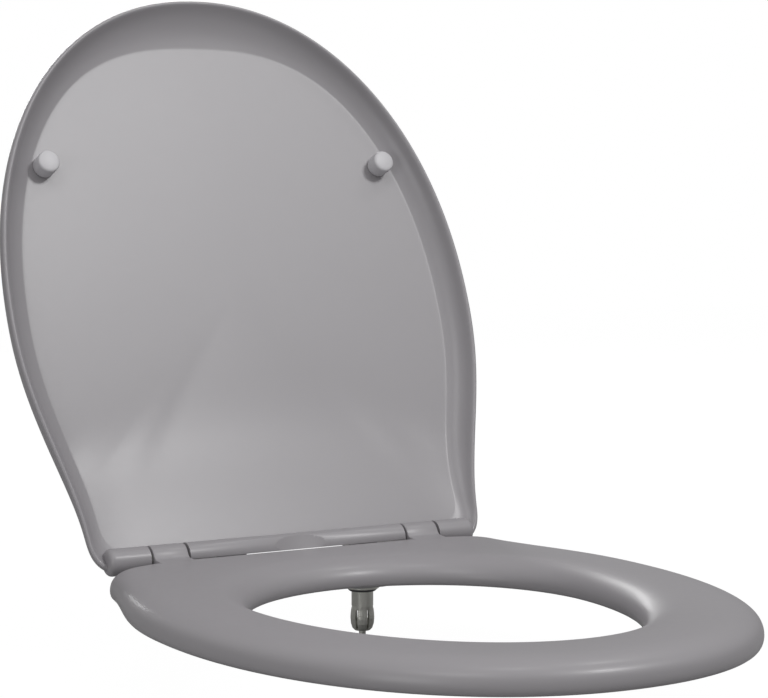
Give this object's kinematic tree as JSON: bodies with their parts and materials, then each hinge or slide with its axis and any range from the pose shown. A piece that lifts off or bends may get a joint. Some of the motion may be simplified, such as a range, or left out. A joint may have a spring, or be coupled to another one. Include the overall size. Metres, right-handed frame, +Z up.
{
  "type": "toilet seat",
  "caption": "Moulded toilet seat with an oval ring, a lid standing open behind it, soft-closing pin hinges and quick-release expanding fixings.",
  "frame": {"origin": "on the seating plane of the pan, midway between the two fixings", "axes": "+X to the right seen from the front, -Y towards the front of the seat, +Z up"},
  "size_m": [0.376, 0.5986, 0.4642],
  "materials": {
    "resin": "warm grey moulded resin, glossy",
    "buffer": "soft light grey plastic",
    "rubber": "grey rubber",
    "steel": "satin stainless steel",
    "zinc": "satin die-cast zinc",
    "nylon": "white nylon"
  },
  "bodies": {
    "root": {"hinge_post_left": "zinc", "hinge_post_right": "zinc", "hinge_pin_left": "steel", "hinge_pin_right": "steel", "mounting_stud_left": "steel", "mounting_stud_right": "steel", "base_gasket_left": "rubber", "base_gasket_right": "rubber", "expansion_anchor_left": "steel", "expansion_anchor_right": "steel", "anchor_nut_left": "steel", "anchor_nut_right": "steel", "button_spring_left": "steel", "button_spring_right": "steel", "lid_damper_rotor": "steel", "seat_damper_rotor": "steel"},
    "seat": {"seat_ring": "resin", "ring_buffer_front_left": "rubber", "ring_buffer_front_right": "rubber", "ring_buffer_rear_left": "rubber", "ring_buffer_rear_right": "rubber", "seat_damper_housing": "nylon", "seat_bush": "nylon"},
    "lid": {"lid": "resin", "lid_buffer_left": "buffer", "lid_buffer_right": "buffer", "lid_damper_housing": "nylon", "lid_bush": "nylon"},
    "button_left": {"release_button_left": "resin"},
    "button_right": {"release_button_right": "resin"}
  },
  "joints": [
    {"name": "seat_hinge", "type": "hinge", "parent": "root", "child": "seat", "pos_m": [0, 0.004, 0.036], "axis": [-1, 0, 0], "range_deg": [0, 108]},
    {"name": "lid_hinge", "type": "hinge", "parent": "root", "child": "lid", "pos_m": [0, 0.004, 0.036], "axis": [-1, 0, 0], "range_deg": [-112, 0]},
    {"name": "button_left_slide", "type": "slide", "parent": "root", "child": "button_left", "axis": [0, -1, 0], "range_m": [0, 0.0035]},
    {"name": "button_right_slide", "type": "slide", "parent": "root", "child": "button_right", "axis": [0, -1, 0], "range_m": [0, 0.0035]}
  ]
}
